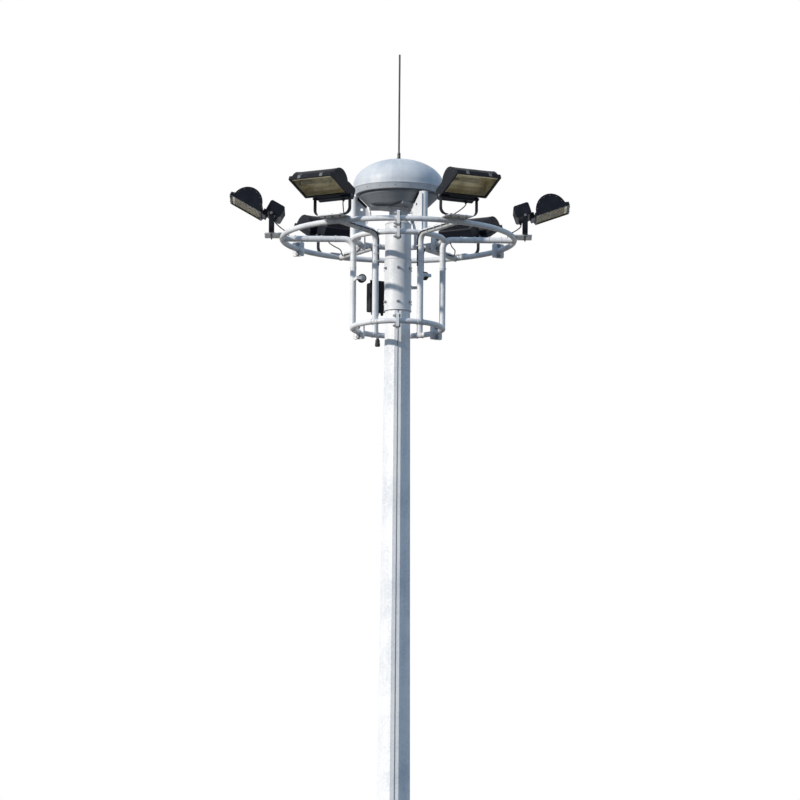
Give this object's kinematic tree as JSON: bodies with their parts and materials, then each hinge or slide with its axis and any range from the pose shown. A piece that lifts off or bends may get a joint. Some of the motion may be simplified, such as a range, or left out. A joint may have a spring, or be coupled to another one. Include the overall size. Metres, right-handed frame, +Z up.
{
  "type": "high mast floodlight tower",
  "caption": "Tall tapered steel mast with a domed head and a lowering ring carriage that carries tilting floodlights around the top.",
  "frame": {"origin": "centre of the base flange's underside, at ground level", "axes": "+Z up along the mast; the picture looks along +Y and slightly upward, with +X to its right"},
  "size_m": [3.3621, 3.1653, 21.07],
  "materials": {
    "galvanised": "hot-dip galvanised, matt",
    "cap_metal": "spun, matt",
    "rod_metal": "weathered dark",
    "rope_steel": "stranded",
    "pulley_plastic": "moulded nylon",
    "lamp_paint": "black powder coat",
    "lamp_glass": "clear, over a pale reflector",
    "roller_rubber": "moulded, matt",
    "box_plastic": "matt",
    "lead_sheath": "matt"
  },
  "bodies": {
    "mast": {"access_door": "galvanised", "base_flange": "galvanised", "dome_cover": "cap_metal", "head_pan": "cap_metal", "head_sleeve": "galvanised", "hoist_ropes": "rope_steel", "lightning_rod": "rod_metal", "lower_section": "galvanised", "pulley_cheeks": "galvanised", "rope_pulleys": "pulley_plastic", "upper_section": "galvanised"},
    "carriage": {"cage_frame_1": "galvanised", "cage_frame_2": "galvanised", "cage_frame_3": "galvanised", "junction_box": "box_plastic", "lamp_brackets": "galvanised", "lamp_leads": "lead_sheath", "lamp_stirrups": "lamp_paint", "outer_ring_arc_1": "galvanised", "outer_ring_arc_2": "galvanised", "outer_ring_arc_3": "galvanised", "roller_brackets": "galvanised"},
    "roller_1": {"guide_roller_1": "roller_rubber"},
    "roller_2": {"guide_roller_2": "roller_rubber"},
    "roller_3": {"guide_roller_3": "roller_rubber"},
    "lamp_1": {"lamp_gear_box_1": "lamp_paint", "lamp_glass_1": "lamp_glass", "lamp_housing_1": "lamp_paint"},
    "lamp_2": {"lamp_gear_box_2": "lamp_paint", "lamp_glass_2": "lamp_glass", "lamp_housing_2": "lamp_paint"},
    "lamp_3": {"lamp_gear_box_3": "lamp_paint", "lamp_glass_3": "lamp_glass", "lamp_housing_3": "lamp_paint"},
    "lamp_4": {"lamp_gear_box_4": "lamp_paint", "lamp_glass_4": "lamp_glass", "lamp_housing_4": "lamp_paint"},
    "lamp_5": {"lamp_gear_box_5": "lamp_paint", "lamp_glass_5": "lamp_glass", "lamp_housing_5": "lamp_paint"},
    "lamp_6": {"lamp_gear_box_6": "lamp_paint", "lamp_glass_6": "lamp_glass", "lamp_housing_6": "lamp_paint"}
  },
  "joints": [
    {"name": "carriage_slide", "type": "slide", "parent": "mast", "child": "carriage", "axis": [0, 0, 1], "range_m": [-16.8, 0], "deforming": ["hoist_ropes"]},
    {"name": "roller_1_spin", "type": "hinge", "parent": "carriage", "child": "roller_1", "pos_m": [0.09524, 0.35546, 18.789], "axis": [0.9659, -0.2588, 0], "continuous": true},
    {"name": "roller_2_spin", "type": "hinge", "parent": "carriage", "child": "roller_2", "pos_m": [-0.35546, -0.09524, 18.789], "axis": [-0.2588, 0.9659, 0], "continuous": true},
    {"name": "roller_3_spin", "type": "hinge", "parent": "carriage", "child": "roller_3", "pos_m": [0.26021, -0.26021, 18.789], "axis": [-0.7071, -0.7071, 0], "continuous": true},
    {"name": "lamp_1_tilt", "type": "hinge", "parent": "carriage", "child": "lamp_1", "pos_m": [-0.64637, -1.07574, 19.418], "axis": [-0.8572, 0.515, 0], "range_deg": [-42.5, 37.5]},
    {"name": "lamp_2_tilt", "type": "hinge", "parent": "carriage", "child": "lamp_2", "pos_m": [0.58919, -1.1081, 19.418], "axis": [-0.8829, -0.4695, 0], "range_deg": [-46, 34]},
    {"name": "lamp_3_tilt", "type": "hinge", "parent": "carriage", "child": "lamp_3", "pos_m": [1.255, 0, 19.418], "axis": [0, -1, 0], "range_deg": [-39.3, 40.7]},
    {"name": "lamp_4_tilt", "type": "hinge", "parent": "carriage", "child": "lamp_4", "pos_m": [0.6275, 1.08686, 19.418], "axis": [0.866, -0.5, 0], "range_deg": [-47, 33]},
    {"name": "lamp_5_tilt", "type": "hinge", "parent": "carriage", "child": "lamp_5", "pos_m": [-0.6275, 1.08686, 19.418], "axis": [0.866, 0.5, 0], "range_deg": [-47, 33]},
    {"name": "lamp_6_tilt", "type": "hinge", "parent": "carriage", "child": "lamp_6", "pos_m": [-1.255, 0, 19.418], "axis": [0, 1, 0], "range_deg": [-49.5, 30.5]}
  ]
}
